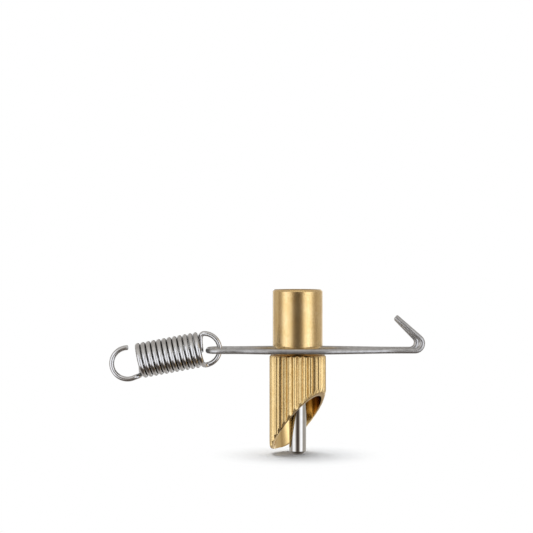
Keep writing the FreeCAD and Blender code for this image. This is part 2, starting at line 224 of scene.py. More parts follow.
# Usual values of a noise, those that make speckles, and speckles a millimetre
NOISE_RANGE = (0.3, 0.7)
SPECKLE_RANGE = (0.45, 0.62)
SPECKLES = 5

# Colour sockets of a mix node
MIX_A = 6
MIX_B = 7
MIX_RESULT = 2


# Mesh helpers

def make_piece(name, points, faces, finishes, body, node):
    """Object from points in millimetres, which stands for a CAD node and may ride on a body."""
    mesh = bpy.data.meshes.new(name)
    mesh.from_pydata([Vector(point) * MM for point in points], [], faces)
    for finish in finishes:
        mesh.materials.append(finish)
    mesh.validate()
    mesh.shade_smooth()
    mesh.set_sharp_from_angle(angle=radians(SHARP_ANGLE))
    piece = bpy.data.objects.new(name, mesh)
    bpy.context.scene.collection.objects.link(piece)
    if body:
        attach(piece, body)
    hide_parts(node)
    return piece


def weight_normals(piece):
    """Large faces keep their own direction beside narrow edge rounds."""
    modifier = piece.modifiers.new("face_weights", "WEIGHTED_NORMAL")
    modifier.keep_sharp = True
    modifier.weight = FACE_WEIGHT


def ring_faces(columns, rows, closed_rows):
    """Quads between neighbouring columns of points, all the way round."""
    faces = []
    for i in range(columns):
        after = (i + 1) % columns
        for j in range(rows if closed_rows else rows - 1):
            below = (j + 1) % rows
            faces.append((i * rows + j, i * rows + below, after * rows + below, after * rows + j))
    return faces


def lathe(profile):
    """Points and faces of a closed profile of (radius, height) turned about the axis."""
    points = []
    for i in range(TURNED_COLUMNS):
        angle = 2 * pi * i / TURNED_COLUMNS
        points += [(r * cos(angle), r * sin(angle), z) for r, z in profile]
    return points, ring_faces(TURNED_COLUMNS, len(profile), True)


def rounded(corners, size):
    """A closed profile with each corner rounded by a small curve."""
    profile = []
    count = len(corners)
    for i in range(count):
        corner = Vector(corners[i])
        back = (Vector(corners[i - 1]) - corner).normalized()
        ahead = (Vector(corners[(i + 1) % count]) - corner).normalized()
        for step in range(ROUND_STEPS + 1):
            t = step / ROUND_STEPS
            start = corner + back * size * (1 - t)
            end = corner + ahead * size * t
            profile.append(tuple(start.lerp(end, t)))
    return profile


def tube(path, radius, sides, end_round=WIRE_END_ROUND):
    """Points and faces of a round wire along a path, with slightly rounded cut ends."""
    along = [(path[1] - path[0]).normalized()]
    for i in range(1, len(path) - 1):
        along.append((path[i + 1] - path[i - 1]).normalized())
    along.append((path[-1] - path[-2]).normalized())
    across = along[0].orthogonal().normalized()
    inset = radius * end_round
    rings = []
    for i, middle in enumerate(path):
        across = (across - along[i] * across.dot(along[i])).normalized()
        up = along[i].cross(across)
        if i == 0:
            shares = END_RINGS
        elif i == len(path) - 1:
            shares = [(-forward, inward) for forward, inward in reversed(END_RINGS)]
        else:
            shares = [(0, 0)]
        for forward, inward in shares:
            ring_middle = middle + along[i] * inset * forward
            rings.append((ring_middle, across, up, radius - inset * inward))
    points = []
    for ring_middle, across, up, ring_radius in rings:
        for k in range(sides):
            turn = 2 * pi * k / sides
            points.append(ring_middle + (across * cos(turn) + up * sin(turn)) * ring_radius)
    faces = []
    for j in range(len(rings) - 1):
        for k in range(sides):
            after = (k + 1) % sides
            faces.append((
                j * sides + k, j * sides + after, (j + 1) * sides + after, (j + 1) * sides + k
            ))
    faces.append(tuple(reversed(range(sides))))
    faces.append(tuple(range(len(points) - sides, len(points))))
    return points, faces


def held(value):
    """A value held between 0 and 1."""
    return min(max(value, 0), 1)


def smooth_least(a, b, width):
    """The lesser of two values, with the step between them rounded."""
    if width <= 0:
        return min(a, b)
    blend = max(width - abs(a - b), 0) / width
    return min(a, b) - blend * blend * width / 4


# Finishes

class Finish:
    """A node material with one main shader."""

    def __init__(self, name, color, metallic, roughness):
        self.material = bpy.data.materials.new(name)
        self.material.use_nodes = True
        self.tree = self.material.node_tree
        self.shader = self.tree.nodes["Principled BSDF"]
        self.color = (*color, 1)
        self.put(self.color, self.shader.inputs["Base Color"])
        self.put(metallic, self.shader.inputs["Metallic"])
        self.put(roughness, self.shader.inputs["Roughness"])
        self.coordinates = self.node("ShaderNodeTexCoord").outputs["Object"]
        self.normal = None

    def node(self, kind, **inputs):
        made = self.tree.nodes.new(kind)
        for name, value in inputs.items():
            self.put(value, made.inputs[name.replace("_", " ")])
        return made

    def put(self, value, socket):
        if isinstance(value, bpy.types.NodeSocket):
            self.tree.links.new(value, socket)
        else:
            socket.default_value = value

    def noise(self, per_mm, detail=4, rough=0.6, squash=(1, 1, 1)):
        """Noise with so many cells a millimetre, drawn out along an axis by squash."""
        mapping = self.node("ShaderNodeMapping", Vector=self.coordinates, Scale=squash)
        noise = self.node(
            "ShaderNodeTexNoise", Vector=mapping.outputs["Vector"],
            Scale=per_mm / MM, Detail=detail, Roughness=rough,
        )
        return noise.outputs["Fac"]

    def spread(self, value, low_in, high_in, low_out=0, high_out=1):
        """A value moved from one range to another, held inside it."""
        node = self.node(
            "ShaderNodeMapRange", Value=value,
            From_Min=low_in, From_Max=high_in, To_Min=low_out, To_Max=high_out,
        )
        return node.outputs["Result"]

    def recolor(self, amount, first, second, blend):
        """Base colour mixed from two colours, by an amount from 0 to 1."""
        mix = self.node("ShaderNodeMix")
        mix.data_type = "RGBA"
        mix.blend_type = blend
        self.put(amount, mix.inputs["Factor"])
        self.put(first, mix.inputs[MIX_A])
        self.put(second, mix.inputs[MIX_B])
        self.color = mix.outputs[MIX_RESULT]
        self.put(self.color, self.shader.inputs["Base Color"])

    def tint(self, value, dark, light, edges=NOISE_RANGE):
        """Base colour between two shades."""
        self.recolor(self.spread(value, *edges), (*dark, 1), (*light, 1), "MIX")

    def stain(self, amount, stain):
        """Base colour times a stain or a painted shade, by an amount from 0 to 1."""
        self.recolor(amount, self.color, (*stain, 1), "MULTIPLY")

    def speckle(self, stain):
        """Base colour stained in small spots."""
        self.stain(self.spread(self.noise(SPECKLES, detail=2), *SPECKLE_RANGE), stain)

    def shade_by_height(self, first, last, stain):
        """Painted shade: base colour darkened from one height of the piece to another."""
        height = self.node("ShaderNodeSeparateXYZ", Vector=self.coordinates).outputs["Z"]
        self.stain(self.spread(height, first * MM, last * MM), stain)

    def paint_shade(self, low, high, stain):
        """Painted shade: base colour darkened where the mesh's painted shade values lie above low,
        and fully from high.
        """
        place = self.node("ShaderNodeAttribute")
        place.attribute_name = PAINTED_SHADE
        self.stain(self.spread(place.outputs["Fac"], low, high), stain)

    def rough(self, value, low, high):
        """Roughness between two levels."""
        self.put(self.spread(value, *NOISE_RANGE, low, high), self.shader.inputs["Roughness"])

    def bump(self, value, height_mm):
        """Relief of so many millimetres, added to what is there."""
        node = self.node("ShaderNodeBump", Height=value, Strength=1, Distance=height_mm * MM)
        if self.normal:
            self.put(self.normal, node.inputs["Normal"])
        self.normal = node.outputs["Normal"]
        self.put(self.normal, self.shader.inputs["Normal"])


def turned_brass():
    """Spigot and groove: fine rings from the lathe, slightly dull, faintly stained."""
    finish = Finish("turned_brass", color=(0.86, 0.62, 0.29), metallic=0.88, roughness=0.16)
    rings = finish.noise(0.05, detail=3, rough=0.7, squash=(1, 1, 160))
    grain = finish.noise(6, detail=3)
    stain = finish.noise(0.35, detail=5)
    finish.tint(stain, (0.83, 0.585, 0.262), (0.88, 0.65, 0.332), edges=(0.35, 0.65))
    finish.speckle((0.87, 0.85, 0.78))
    finish.rough(grain, 0.12, 0.21)
    finish.bump(rings, 0.012)
    finish.bump(grain, 0.008)
    return finish.material


def fluted_brass():
    """Grip: rolled flutes with a grainy skin, streaks along them, and painted shade in the notches
    at the top.
    """
    finish = Finish("fluted_brass", color=(0.88, 0.66, 0.31), metallic=0.92, roughness=0.2)
    streaks = finish.noise(5, detail=3, squash=(1, 1, 0.05))
    grain = finish.noise(7, rough=0.7)
    stain = finish.noise(0.5, detail=5)
    finish.tint(stain, (0.82, 0.59, 0.26), (0.91, 0.69, 0.34))
    finish.speckle((0.87, 0.84, 0.76))
    # Painted shade in the notches at the grip's top
    finish.paint_shade(0, 0.7, (0.3, 0.19, 0.08))
    finish.rough(grain, 0.13, 0.27)
    finish.bump(streaks, 0.009)
    finish.bump(grain, 0.014)
    return finish.material


def bored_brass():
    """Inside and cut faces: drilling rings, and painted shade up the front bore."""
    finish = Finish("bored_brass", color=(0.84, 0.6, 0.27), metallic=1, roughness=0.14)
    rings = finish.noise(0.05, detail=3, rough=0.7, squash=(1, 1, 90))
    grain = finish.noise(5, detail=3)
    finish.tint(grain, (0.8, 0.56, 0.23), (0.87, 0.64, 0.3))
    # Painted shade up the front bore
    finish.shade_by_height(*FRONT_BORE_SHADE, (0.5, 0.45, 0.37))
    finish.rough(grain, 0.1, 0.18)
    finish.bump(rings, 0.008)
    return finish.material


def polished_pin():
    """Ground stainless pin: mirror bands with faint lengthwise lines, and a painted darker tip
    that stands for the shadowed floor it reflects.
    """
    finish = Finish("polished_pin", color=(0.61, 0.6, 0.56), metallic=1, roughness=0.08)
    lines = finish.noise(8, detail=2, rough=0.5, squash=(1, 1, 0.02))
    smears = finish.noise(0.8)
    finish.tint(smears, (0.58, 0.57, 0.53), (0.65, 0.635, 0.59))
    # Painted shade on the chamfer and end, standing for the reflection of the shadowed floor
    finish.shade_by_height(*TIP_SHADE, (0.4, 0.39, 0.38))
    finish.rough(smears, 0.05, 0.1)
    finish.bump(lines, 0.0004)
    return finish.material


def steel(name, dark, light, roughness, grain_mm, streak_mm=0, painted_shade=None):
    """Drawn steel: mottled, with a light grain and perhaps fine streaks and painted shade where
    the mesh carries it.
    """
    finish = Finish(name, color=light, metallic=1, roughness=sum(roughness) / 2)
    mottle = finish.noise(1.2, detail=5)
    grain = finish.noise(9, detail=3, rough=0.7)
    finish.tint(mottle, dark, light)
    # Painted shade between the coil's turns, where the mesh carries it
    if painted_shade:
        finish.paint_shade(*COIL_SHADE_FACING, painted_shade)
    finish.rough(grain, *roughness)
    if streak_mm:
        finish.bump(finish.noise(3, detail=3, squash=(0.12, 1, 1)), streak_mm)
    finish.bump(grain, grain_mm)
    return finish.material


def rubber():
    finish = Finish("seal_rubber", color=(0.025, 0.025, 0.026), metallic=0, roughness=0.62)
    grain = finish.noise(5)
    finish.rough(grain, 0.55, 0.72)
    finish.bump(grain, 0.01)
    return finish.material


def plastic():
    finish = Finish("bush_plastic", color=(0.84, 0.83, 0.79), metallic=0, roughness=0.42)
    grain = finish.noise(3)
    finish.tint(grain, (0.8, 0.79, 0.74), (0.86, 0.85, 0.81))
    finish.rough(grain, 0.36, 0.5)
    finish.bump(grain, 0.006)
    return finish.material


# Body

def flute_wall(angle):
    """Outer radius of the fluted grip at an angle."""
    step = 2 * pi / FLUTES
    off_middle = abs((angle - radians(FLUTE_TURN) + step / 2) % step - step / 2)
    root = GRIP_RAD - FLUTE_DEPTH
    side = root + off_middle * GRIP_RAD / tan(radians(FLUTE_ANGLE / 2))
    side = root + sqrt((side - root) ** 2 + FLUTE_EDGE ** 2 / 4) - FLUTE_EDGE / 4
    return smooth_least(GRIP_RAD, side, FLUTE_EDGE)


def lowest(radius, angle):
    """Height of the body's lower end: the slanted mouth, or the rounded tip below it."""
    toward_mouth = radius * cos(angle - radians(MOUTH_TURN))
    mouth = MOUTH_TOP - (GRIP_RAD - toward_mouth) * tan(radians(MOUTH_SLOPE))
    beyond = max(radius - (GRIP_RAD - END_ROUND), 0)
    tip = BODY_END + END_ROUND - sqrt(max(END_ROUND ** 2 - beyond ** 2, 0))
    return -smooth_least(-mouth, -tip, MOUTH_TIP_BLEND)


def body_column(angle):
    """(radius, height, finish) down the outside at one angle and back up through the bores."""
    turned, fluted, bored = 0, 1, 2
    wall = flute_wall(angle)
    spigot_top_rad = SPIGOT_RAD - SPIGOT_LEAD
    grip_top_rad = GRIP_RAD - GRIP_LEAD

    # Spigot and groove
    rows = [
        (spigot_top_rad - TINY_EDGE, 0, turned),
        (spigot_top_rad + TINY_EDGE / 2, -TINY_EDGE / 2, turned),
        (SPIGOT_RAD - TINY_EDGE / 2, TINY_EDGE / 2 - SPIGOT_LEAD, turned),
        (SPIGOT_RAD, -SPIGOT_LEAD - TINY_EDGE, turned),
        (SPIGOT_RAD, -SPIGOT_LEAD - 2 * EDGE, turned),
    ]
    rows += [(SPIGOT_RAD, -depth, turned) for depth in SPIGOT_ROWS]
    rows += [
        (SPIGOT_RAD, SPIGOT_END + 3 * EDGE, turned),
        (SPIGOT_RAD, SPIGOT_END + EDGE, turned),
        (SPIGOT_RAD - EDGE_MIDDLE, SPIGOT_END + EDGE_MIDDLE, turned),
        (SPIGOT_RAD - EDGE, SPIGOT_END, turned),
        (GROOVE_RAD + EDGE, SPIGOT_END, turned),
        (GROOVE_RAD, SPIGOT_END - EDGE, turned),
        (GROOVE_RAD, GROOVE_END + EDGE, turned),
        (GROOVE_RAD + EDGE, GROOVE_END, turned),
        (min(wall, grip_top_rad) - EDGE, GROOVE_END, turned),
    ]

    # Grip, from its lead under the groove to the ribs' ends
    for share in GRIP_LEAD_ROWS:
        radius = smooth_least(wall, grip_top_rad + GRIP_LEAD * share, LEAD_BLEND)
        rows.append((radius, GROOVE_END - GRIP_LEAD * share, fluted))
    cut = lowest(wall, angle)
    bottom = cut + EDGE + MOUTH_LEAD_ROOM
    for share in FLUTE_ROWS:
        rows.append((wall, FLUTE_TOP + (bottom - FLUTE_TOP) * share, fluted))
    lead = held((cut - BODY_END - MOUTH_LEAD_START) / MOUTH_LEAD_FADE)
    for share in MOUTH_LEAD_ROWS:
        lip = smooth_least(wall, GRIP_RAD - MOUTH_LEAD * lead * (1 - share), LEAD_BLEND * lead)
        rows.append((lip, lowest(lip, angle) + EDGE + MOUTH_LEAD_RISE * share, fluted))

    # Cut face of the mouth
    radius = lip - EDGE_MIDDLE
    rows.append((radius, lowest(radius, angle) + EDGE_MIDDLE, bored))
    outer = lip - EDGE
    inner = FRONT_RAD + EDGE
    for share in MOUTH_FACE_ROWS:
        radius = outer + (inner - outer) * share
        rows.append((radius, lowest(radius, angle), bored))
    radius = FRONT_RAD + EDGE_MIDDLE
    rows.append((radius, lowest(radius, angle) + EDGE_MIDDLE, bored))

    # Front bore, hole for the pin, seat and inlet bore
    low = lowest(FRONT_RAD, angle) + EDGE
    for share in FRONT_BORE_ROWS:
        rows.append((FRONT_RAD, low + (WEB_END - EDGE - low) * share, bored))
    rows += [
        (FRONT_RAD - EDGE, WEB_END, bored),
        (STEM_HOLE_RAD + EDGE, WEB_END, bored),
        (STEM_HOLE_RAD, WEB_END + EDGE, bored),
        (STEM_HOLE_RAD, SEAT - EDGE, bored),
        (STEM_HOLE_RAD + EDGE, SEAT, bored),
        (INLET_RAD, SEAT, bored),
    ]
    rows += [(INLET_RAD, SEAT * share, bored) for share in INLET_ROWS]
    rows += [(INLET_RAD, -INLET_LEAD, bored), (INLET_RAD + INLET_LEAD, 0, turned)]
    return rows


def nipple_body(finishes):
    columns = FLUTES * COLUMNS_PER_FLUTE
    points = []
    for i in range(columns):
        angle = 2 * pi * i / columns + radians(FLUTE_TURN)
        rows = body_column(angle)
        points += [(r * cos(angle), r * sin(angle), z) for r, z, finish in rows]
    faces = ring_faces(columns, len(rows), True)
    body = make_piece("brass_body", points, faces, finishes, "nipple_body", "nipple_body")

    # Painted shade in the notches at the grip's top
    painted_shade = body.data.attributes.new(PAINTED_SHADE, "FLOAT", "POINT")
    for value, (x, y, z) in zip(painted_shade.data, points):
        deep = (GRIP_RAD - sqrt(x * x + y * y)) / FLUTE_DEPTH
        high = (z - GROOVE_END) / NOTCH_SHADE_DEPTH + 1
        value.value = held(deep) * held(high)

    row_finish = [finish for r, z, finish in rows]
    for number, polygon in enumerate(body.data.polygons):
        polygon.material_index = row_finish[number % len(rows)]
    weight_normals(body)


# Valve

def turned_piece(name, corners, edge, finish, body, node):
    """Piece turned about the valve's axis, with rounded corners."""
    points, faces = lathe(rounded(corners, edge))
    piece = make_piece(name, points, faces, [finish], body, node)
    weight_normals(piece)


def drinking_pin(finish):
    turned_piece("steel_pin", [
        (NEAR_AXIS, BOSS_TOP), (NEAR_AXIS, PIN_END), (PIN_RAD - PIN_LEAD, PIN_END),
        (PIN_RAD, PIN_END + PIN_LEAD), (PIN_RAD, HEAD_UNDER), (HEAD_RAD, HEAD_UNDER),
        (HEAD_RAD, HEAD_TOP), (BOSS_RAD, HEAD_TOP), (BOSS_RAD, BOSS_TOP),
    ], PIN_EDGE, finish, "drinking_pin", "drinking_pin")


def seat_seal(finish):
    turned_piece("rubber_washer", [
        (SEAL_BORE_RAD, SEAL_TOP), (SEAL_BORE_RAD, SEAT), (SEAL_RAD, SEAT), (SEAL_RAD, SEAL_TOP),
    ], SEAL_EDGE, finish, "seat_seal", "seat_seal")


def inlet_bush(finish):
    turned_piece("plastic_bush", [
        (WATERWAY_RAD, BUSH_TOP), (WATERWAY_RAD, BUSH_END), (INLET_RAD - BUSH_LEAD, BUSH_END),
        (INLET_RAD, BUSH_END + BUSH_LEAD), (INLET_RAD, BUSH_TOP),
    ], BUSH_EDGE, finish, "nipple_body", "inlet_bush")


def return_spring(finish):
    """Compression spring with a closed turn at each end, in two lengths that meet half way up.

    The upper length rides on the seat seal's body, and the lower one rides on no body.
    """
    bottom = HEAD_TOP + REST_GAP + VALVE_WIRE
    top = BUSH_END - REST_GAP - VALVE_WIRE
    closed_rise = 2 * VALVE_WIRE + REST_GAP
    open_rise = (top - bottom - 2 * closed_rise) / (VALVE_TURNS - 2)
    path = []
    level = bottom
    for step in range(VALVE_TURNS * VALVE_STEPS + 1):
        turn = step / VALVE_STEPS
        if step > 0:
            closed = turn <= 1 or turn > VALVE_TURNS - 1
            level += (closed_rise if closed else open_rise) / VALVE_STEPS
        angle = 2 * pi * turn
        path.append(Vector((VALVE_COIL_RAD * cos(angle), VALVE_COIL_RAD * sin(angle), level)))
    half = len(path) // 2

    points, faces = tube(path[:half + 1], VALVE_WIRE, VALVE_SIDES, VALVE_END_ROUND)
    lower = make_piece("valve_spring_lower", points, faces, [finish], None, "return_spring")
    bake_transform(lower)

    points, faces = tube(path[half:], VALVE_WIRE, VALVE_SIDES, VALVE_END_ROUND)
    upper = make_piece("valve_spring_upper", points, faces, [finish], "seat_seal", "return_spring")
    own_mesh(upper)


# Hanger

def rounded_path(corners, radii, step):
    """Points along straight runs joined by arcs that touch both runs."""
    path = [corners[0]]
    for i in range(1, len(corners) - 1):
        corner = corners[i]
        radius = radii[i - 1]
        back = (corners[i - 1] - corner).normalized()
        ahead = (corners[i + 1] - corner).normalized()
        half = back.angle(ahead) / 2
        reach = radius / tan(half)
        middle = corner + (back + ahead).normalized() * (radius / sin(half))
        first = corner + back * reach - middle
        last = corner + ahead * reach - middle
        turn = first.angle(last)
        count = max(2, round(turn * radius / step))
        for k in range(count + 1):
            a = turn * k / count
            path.append(middle + (first * sin(turn - a) + last * sin(a)) / sin(turn))
    path.append(corners[-1])
    return path


def leg_corners(side, hook_angle, straight_prong, shorter):
    """Corners of one leg from its prong's tip to the closed end. side is -1 near, 1 far."""
    rise = radians(hook_angle)
    reach = HOOK_RAD * tan((pi - rise) / 2)
    corner_x = HOOK_REACH - HOOK_RAD + reach - shorter
    prong = reach + straight_prong
    corners = [
        (corner_x - prong * cos(rise), side * HOOK_HALF, prong * sin(rise)),
        (corner_x, side * HOOK_HALF, 0),
        (RIGHT_WAIST, side * HOOK_HALF, 0),
        (RIGHT_SHOULDER, side * LEG_HALF, 0),
        (-LEFT_SHOULDER, side * LEG_HALF, 0),
        (-LEFT_WAIST, side * CLOSED_HALF, 0),
        (-HANGER_LEFT, side * CLOSED_HALF, 0),
    ]
    return [Vector((x, y, z + HANGER_LEVEL)) for x, y, z in corners]


def hanger(finish):
    """Hairpin with a closed end, two bowed legs and two hooks."""
    radii = [HOOK_RAD] + [LEG_BEND] * 4 + [CLOSED_RAD]
    near = leg_corners(-1, NEAR_HOOK_ANGLE, NEAR_PRONG, 0)
    far = leg_corners(1, FAR_HOOK_ANGLE, FAR_PRONG, FAR_LEG_SHORT)
    path = rounded_path(near + far[::-1], radii + radii[::-1], HANGER_STEP)
    points, faces = tube(path, HANGER_WIRE, HANGER_SIDES)
    wire = make_piece("hanger", points, faces, [finish], "hanger_wire", "hanger_wire")


# Tension spring, laid out along X from its hook and then put in its place on the hanger

def ring_points(middle_x, middle_z, first, last):
    """Points of a ring in the XZ plane from one angle to another, in degrees from +X."""
    steps = round(abs(last - first) / RING_STEP)
    points = []
    for i in range(steps + 1):
        angle = radians(first + (last - first) * i / steps)
        x = middle_x + RING_RAD * cos(angle)
        z = middle_z + RING_RAD * sin(angle)
        points.append(Vector((x, 0, z)))
    return points


def coil_points():
    """Points of the close turns."""
    span = COIL_TURNS - 2 * COIL_END_TURN
    steps = round(span * COIL_STEPS)
    points = []
    for i in range(steps + 1):
        turn = COIL_END_TURN + span * i / steps
        angle = 2 * pi * turn
        points.append(Vector((COIL_PITCH * turn, COIL_RAD * sin(angle), -COIL_RAD * cos(angle))))
    return points


def bridge(before, after):
    """Points of a smooth bend from the end of one run to the start of the next."""
    start = before[-1]
    end = after[0]
    leave = start + (before[-1] - before[-2]).normalized() * BEND_REACH
    arrive = end - (after[1] - after[0]).normalized() * BEND_REACH
    points = []
    for i in range(1, BEND_STEPS):
        t = i / BEND_STEPS
        u = 1 - t
        points.append(
            start * u**3 + leave * (3 * u * u * t) + arrive * (3 * u * t * t) + end * t**3
        )
    return points


def tension_spring(finish):
    """Close-wound spring with a closed loop on the hanger and an open hook at its far end."""
    loop_middle = COIL_TURNS * COIL_PITCH + LOOP_OFFSET
    hook = ring_points(-HOOK_OFFSET, -RING_DROP, HOOK_TIP_ANGLE, HOOK_ROOT_ANGLE)
    coil = coil_points()
    loop = ring_points(loop_middle, -RING_DROP, LOOP_ROOT_ANGLE, LOOP_TOP_ANGLE)
    tail_x = loop_middle - TAIL_INSET
    tail = [
        Vector((tail_x + TAIL_SLANT * (0.5 - t), 0, TAIL_TOP - TAIL_LENGTH * t))
        for t in TAIL_ROWS
    ]
    start = hook + bridge(hook, coil)
    path = start + coil + bridge(coil, loop) + loop + bridge(loop, tail) + tail
    lean = Matrix.Rotation(radians(-SPRING_SAG), 4, "Y")
    loop_at = Vector((-HANGER_LEFT - LOOP_PLAY, 0, HANGER_LEVEL + LOOP_RISE))
    to_loop = Matrix.Translation((-loop_middle, 0, RING_DROP))
    placing = Matrix.Translation(loop_at) @ lean @ to_loop
    points, faces = tube([placing @ point for point in path], COIL_WIRE, COIL_SIDES)
    spring = make_piece("coil_spring", points, faces, [finish], "tension_spring", "tension_spring")

    # Painted shade where one turn faces the next
    along = placing.to_3x3() @ Vector((1, 0, 0))
    first = (len(start) + len(END_RINGS) - 1) * COIL_SIDES
    last = first + len(coil) * COIL_SIDES
    painted_shade = spring.data.attributes.new(PAINTED_SHADE, "FLOAT", "POINT")
    for number, vertex in enumerate(spring.data.vertices):
        if first <= number < last:
            painted_shade.data[number].value = abs(vertex.normal.dot(along))


# Studio

# Floor just under the pin's end. Its shadow fades to white from one distance to another, and is
# lifted a little near the object too. AMBIENT is the world's light on the object.
FLOOR_GAP = 0.08
FLOOR_RADIUS = 900
FLOOR_COLOR = (0.886, 0.9, 0.914)
SHADOW_START = 7
SHADOW_END = 17
SHADOW_LIFT = 0.1
AMBIENT = 0.22

# What polished metal reflects. Around it, at the object's height: angle to the right of the
# camera's side in degrees, and brightness. Over and under it: angle up from the camera's side,
# over the top to the back or under it below zero, and brightness. The bands are the heights,
# as shares of the dome's radius, where one goes over into the other.
AROUND = (
    (-180, 0.1), (-170, 0.15), (-163, 0.95), (-150, 0.95), (-143, 0.5), (-106, 0.58), (-92, 0.3),
    (-80, 0.54), (-69, 1.2), (-58, 1.5), (-50, 1.58), (-38, 1.3), (-28, 0.86), (-23, 0.46),
    (-19, 0.25), (-14, 0.14), (-4, 0.07), (6, 0.07), (13, 0.12), (20, 0.27), (24, 0.55),
    (28, 1.0), (37, 1.4), (48, 1.7), (57, 1.62), (75, 0.62), (89, 0.34), (101, 0.52),
    (138, 0.54), (146, 0.95), (164, 1.0), (180, 0.1),
)
OVER = (
    (-180, 0.5), (-150, 0.5), (-120, 0.48), (-104, 0.42), (-95, 0.12), (-75, 0.06), (-52, 0.07),
    (-42, 0.28), (-32, 0.45), (-15, 0.45), (-6, 0.2), (0, 0.06), (8, 0.08), (15, 0.35),
    (24, 0.66), (60, 0.7), (82, 0.58), (94, 0.48), (120, 0.48), (180, 0.5),
)
BAND_BOTTOM = (-0.64, -0.48)
BAND_TOP = (0.32, 0.46)
DOME_RADIUS = 150
DOME_MIDDLE = (-5, 0, -15)
DOME_COLUMNS = 48
DOME_ROWS = 24

# Brightness of the surroundings, and their red and blue as shares of green there
TINTS = ((0.1, 1.22, 0.86), (0.5, 1.05, 0.96), (1, 1, 1), (1.5, 0.98, 1.1))

# Bright card in front of the tension spring: left and right, low and high, place and brightness
CARD_SIDES = (-27.5, -18.5)
CARD_HEIGHTS = (-29, 20)
CARD_AWAY = -26
CARD_LEVEL = 1.25


def tinted(level):
    """Colour of the surroundings: dark parts are warm, and the brightest are cool."""
    red, blue = TINTS[0][1:]
    for before, after in zip(TINTS, TINTS[1:]):
        share = held((level - before[0]) / (after[0] - before[0]))
        red += (after[1] - before[1]) * share
        blue += (after[2] - before[2]) * share
    return level * red, level, level * blue, 1


def ramp(tree, value, stops):
    """Colour that follows a value through a list of stops."""
    first, last = stops[0][0], stops[-1][0]
    share = tree.nodes.new("ShaderNodeMapRange")
    share.inputs["From Min"].default_value = first
    share.inputs["From Max"].default_value = last
    colors = tree.nodes.new("ShaderNodeValToRGB")
    elements = colors.color_ramp.elements
    elements[0].position = 0
    elements[1].position = 1
    for position, level in stops[1:-1]:
        elements.new((position - first) / (last - first))
    for element, (position, level) in zip(elements, stops):
        element.color = tinted(level)
    tree.links.new(value, share.inputs["Value"])
    tree.links.new(share.outputs["Result"], colors.inputs["Fac"])
    return colors.outputs["Color"]


def math_node(tree, operation, *values):
    """Result of a sum on sockets and numbers."""
    node = tree.nodes.new("ShaderNodeMath")
    node.operation = operation
    for socket, value in zip(node.inputs, values):
        if isinstance(value, bpy.types.NodeSocket):
            tree.links.new(value, socket)
        else:
            socket.default_value = value
    return node.outputs[0]


def step_between(tree, value, first, last, least=0):
    """Smooth step from least to 1, as a value goes from first to last."""
    node = tree.nodes.new("ShaderNodeMapRange")
    node.interpolation_type = "SMOOTHSTEP"
    node.inputs["From Min"].default_value = first
    node.inputs["From Max"].default_value = last
    node.inputs["To Min"].default_value = least
    tree.links.new(value, node.inputs["Value"])
    return node.outputs["Result"]


def glowing_material(name):
    """Material that only gives light, and the node that gives it."""
    material = bpy.data.materials.new(name)
    material.use_nodes = True
    tree = material.node_tree
    tree.nodes.clear()
    glow = tree.nodes.new("ShaderNodeEmission")
    output = tree.nodes.new("ShaderNodeOutputMaterial")
    tree.links.new(glow.outputs[0], output.inputs["Surface"])
    return material, glow


def reflected_piece(name, points, faces, material, middle=(0, 0, 0)):
    """Piece of the studio that is seen only in reflections."""
    mesh = bpy.data.meshes.new(name)
    mesh.from_pydata([Vector(point) * MM for point in points], [], faces)
    mesh.materials.append(material)
    piece = bpy.data.objects.new(name, mesh)
    piece.location = Vector(middle) * MM
    bpy.context.scene.collection.objects.link(piece)
    piece.visible_camera = False
    piece.visible_diffuse = False
    piece.visible_shadow = False
    piece.visible_transmission = False


def reflection_dome():
    """Soft boxes and dark cards round the object."""
    material, glow = glowing_material("reflection_dome")
    tree = material.node_tree
    place = tree.nodes.new("ShaderNodeTexCoord")
    unit = tree.nodes.new("ShaderNodeVectorMath")
    unit.operation = "NORMALIZE"
    parts = tree.nodes.new("ShaderNodeSeparateXYZ")
    tree.links.new(place.outputs["Object"], unit.inputs[0])
    tree.links.new(unit.outputs["Vector"], parts.inputs[0])
    x, y, z = parts.outputs
    toward_camera = math_node(tree, "MULTIPLY", y, -1)
    angle = math_node(tree, "ARCTAN2", x, toward_camera)
    around = ramp(tree, math_node(tree, "DEGREES", angle), AROUND)
    rise = math_node(tree, "ARCTAN2", z, toward_camera)
    over = ramp(tree, math_node(tree, "DEGREES", rise), OVER)
    in_band = math_node(
        tree, "MULTIPLY", step_between(tree, z, *BAND_BOTTOM),
        math_node(tree, "SUBTRACT", 1, step_between(tree, z, *BAND_TOP)),
    )
    mix = tree.nodes.new("ShaderNodeMix")
    mix.data_type = "RGBA"
    tree.links.new(in_band, mix.inputs["Factor"])
    tree.links.new(over, mix.inputs[MIX_A])
    tree.links.new(around, mix.inputs[MIX_B])
    tree.links.new(mix.outputs[MIX_RESULT], glow.inputs["Color"])

    points = []
    for i in range(DOME_COLUMNS):
        turn = 2 * pi * i / DOME_COLUMNS
        for j in range(DOME_ROWS):
            rise = pi * ((j + 0.5) / DOME_ROWS - 0.5)
            away = Vector((cos(turn) * cos(rise), sin(turn) * cos(rise), sin(rise)))
            points.append(away * DOME_RADIUS)
    faces = ring_faces(DOME_COLUMNS, DOME_ROWS, False)
    for row in (0, DOME_ROWS - 1):
        faces.append([i * DOME_ROWS + row for i in range(DOME_COLUMNS)])
    reflected_piece("reflection_dome", points, faces, material, DOME_MIDDLE)


def spring_card():
    """Bright card in front of the tension spring."""
    left, right = CARD_SIDES
    low, high = CARD_HEIGHTS
    corners = [(left, low), (right, low), (right, high), (left, high)]
    material, glow = glowing_material("spring_card")
    glow.inputs["Color"].default_value = tinted(CARD_LEVEL)
    points = [(x, CARD_AWAY, z) for x, z in corners]
    reflected_piece("spring_card", points, [(0, 1, 2, 3)], material)


